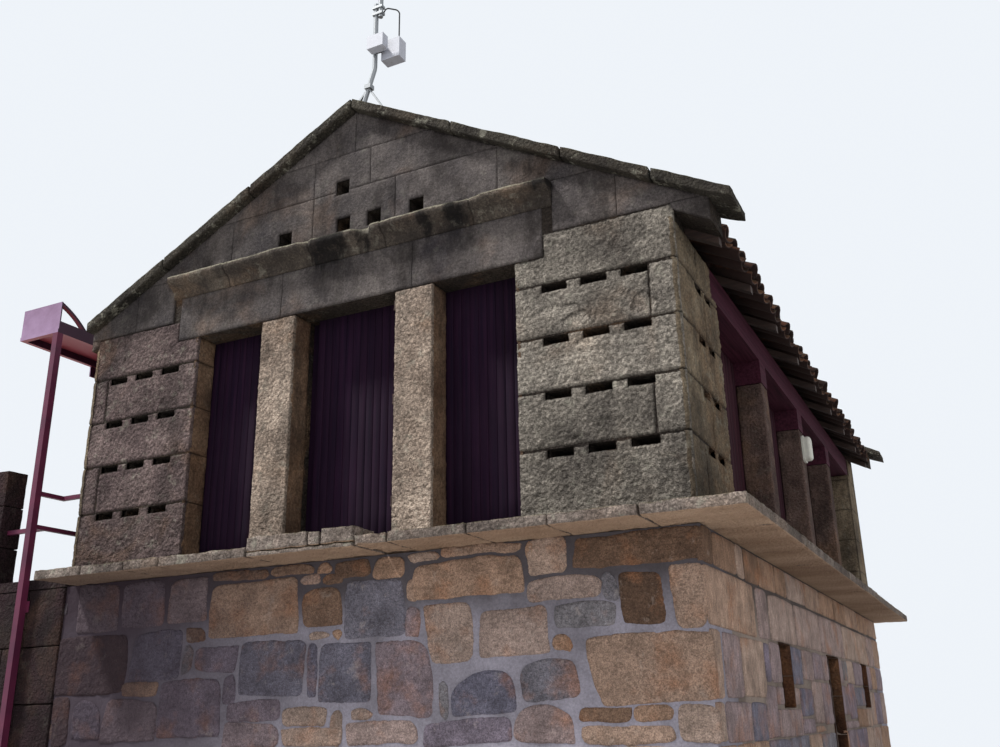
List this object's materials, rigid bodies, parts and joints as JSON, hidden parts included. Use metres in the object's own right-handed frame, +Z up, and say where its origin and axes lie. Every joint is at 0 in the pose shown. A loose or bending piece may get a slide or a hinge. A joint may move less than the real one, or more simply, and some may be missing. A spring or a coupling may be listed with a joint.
{
  "type": "raised granary",
  "caption": "Granite granary chamber with slotted walls and boarded doors under a tiled gable roof, on a rubble stone ground room with a wide slab ledge, a steel porch and a mast.",
  "frame": {"origin": "on the ground under the middle of the chamber's front wall face", "axes": "+X to the right along the gable front, +Y to the back along the ridge, +Z up"},
  "size_m": [6.833, 8.677, 7.891],
  "materials": {
    "granite": "coarse dressed granite, warm grey brown",
    "coping_stone": "weathered, mossy granite",
    "ledge_stone": "flat granite slabs with a mossy edge",
    "rubble_stone": "squared rubble with wide grey mortar",
    "landing_stone": "pinkish brown granite blocks",
    "red_timber": "faded dark red paint on boards",
    "roof_timber": "old untreated timber",
    "clay_tile": "old red clay, lichened",
    "red_steel": "dark red paint, dull",
    "iron": "rusty forged iron",
    "galvanised": "dull zinc coating",
    "box_enamel": "pale grey enamel, rust at the edges",
    "lead_sheath": "black sheath",
    "lamp_body": "chalky grey white"
  },
  "bodies": {
    "granary": {"back_coping": "coping_stone", "back_gable": "granite", "back_return_left": "granite", "back_return_right": "granite", "back_wall": "granite", "base_back_wall": "rubble_stone", "base_door_head": "rubble_stone", "base_front_wall": "rubble_stone", "base_left_wall": "rubble_stone", "base_right_wall_back": "rubble_stone", "base_right_wall_front": "rubble_stone", "base_window_shutters": "red_timber", "chamber_floor": "roof_timber", "door_pillar_left": "granite", "door_pillar_right": "granite", "floor_joists": "roof_timber", "front_coping": "coping_stone", "front_cornice": "granite", "front_door_jamb": "red_timber", "front_door_left": "red_timber", "front_door_middle": "red_timber", "front_door_right": "red_timber", "front_gable": "granite", "front_lintel": "granite", "front_pier_left": "granite", "front_pier_right": "granite", "front_pintles": "iron", "front_return_left": "granite", "front_return_right": "granite", "ground_door_pintles": "iron", "landing_pier": "landing_stone", "landing_slab": "ledge_stone", "landing_wall": "landing_stone", "ledge_back": "ledge_stone", "ledge_front": "ledge_stone", "ledge_left": "ledge_stone", "ledge_right": "ledge_stone", "mast": "galvanised", "mast_boxes": "box_enamel", "mast_lead": "lead_sheath", "porch_canopy": "red_steel", "porch_posts": "red_steel", "porch_rails": "red_steel", "rafters_left": "roof_timber", "rafters_right": "roof_timber", "raised_slab": "ledge_stone", "ridge_beam": "roof_timber", "roof_ridge": "clay_tile", "roof_tiles_left": "clay_tile", "roof_tiles_right": "clay_tile", "side_lamp": "lamp_body", "side_pillars_left": "granite", "side_pillars_right": "granite", "timber_wall_left": "red_timber", "timber_wall_right": "red_timber", "wall_plate_left": "red_timber", "wall_plate_right": "red_timber"},
    "ground_door_leaf": {"ground_door": "red_timber"}
  },
  "joints": [
    {"name": "ground_door_hinge", "type": "hinge", "parent": "granary", "child": "ground_door_leaf", "pos_m": [2.46, 3.985, 0.41], "axis": [0, 0, 1], "range_deg": [0, 90]}
  ]
}
